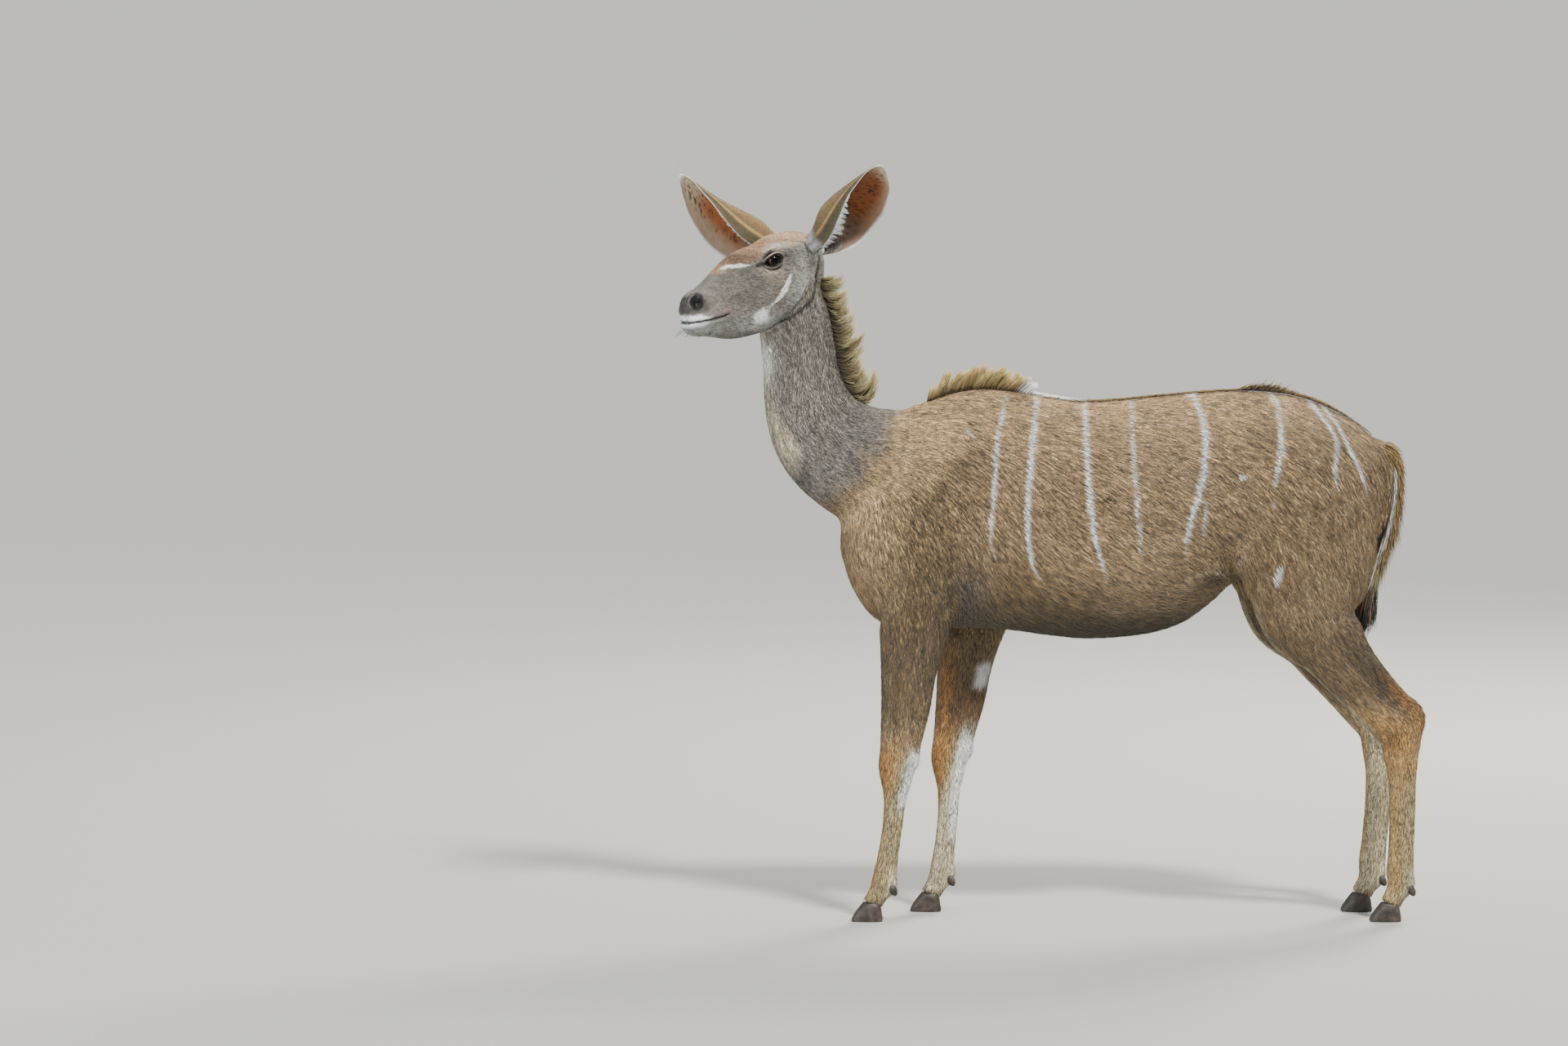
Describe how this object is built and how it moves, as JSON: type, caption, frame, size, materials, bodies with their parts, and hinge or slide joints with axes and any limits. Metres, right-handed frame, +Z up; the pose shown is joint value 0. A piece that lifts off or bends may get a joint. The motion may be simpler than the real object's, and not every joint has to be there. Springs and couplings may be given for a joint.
{
  "type": "greater kudu",
  "caption": "Life-size still model of a hornless female greater kudu, standing side on with its head turned to its left, on cloven hooves.",
  "frame": {"origin": "middle of the animal's box at the floor it stands on", "axes": "+X from the head to the tail, -Y towards the animal's left side, +Z up"},
  "size_m": [1.7317, 0.4096, 1.7653],
  "materials": {
    "body_coat": "short brown fur with white stripes",
    "grey_coat": "short blue-grey fur",
    "leg_coat": "short fawn fur with white patches",
    "ear_coat": "short fur, rust brown inside, pale at the rim",
    "tail_coat": "long hair, white at the sides with a black tuft",
    "horn": "dull dark horn",
    "eye": "wet and glossy"
  },
  "bodies": {
    "root": {"cannon_fore_left": "leg_coat", "cannon_fore_right": "leg_coat", "cannon_hind_left": "leg_coat", "cannon_hind_right": "leg_coat", "dewclaw_fore_left_inner": "horn", "dewclaw_fore_left_outer": "horn", "dewclaw_fore_right_inner": "horn", "dewclaw_fore_right_outer": "horn", "dewclaw_hind_left_inner": "horn", "dewclaw_hind_left_outer": "horn", "dewclaw_hind_right_inner": "horn", "dewclaw_hind_right_outer": "horn", "ear_left": "ear_coat", "ear_right": "ear_coat", "eye_left": "eye", "eye_right": "eye", "forearm_fore_left": "leg_coat", "forearm_fore_right": "leg_coat", "head": "grey_coat", "hoof_fore_left_inner": "horn", "hoof_fore_left_outer": "horn", "hoof_fore_right_inner": "horn", "hoof_fore_right_outer": "horn", "hoof_hind_left_inner": "horn", "hoof_hind_left_outer": "horn", "hoof_hind_right_inner": "horn", "hoof_hind_right_outer": "horn", "neck": "grey_coat", "pastern_fore_left": "leg_coat", "pastern_fore_right": "leg_coat", "pastern_hind_left": "leg_coat", "pastern_hind_right": "leg_coat", "tail": "tail_coat", "thigh_hind_left": "leg_coat", "thigh_hind_right": "leg_coat", "torso": "body_coat"}
  },
  "joints": []
}
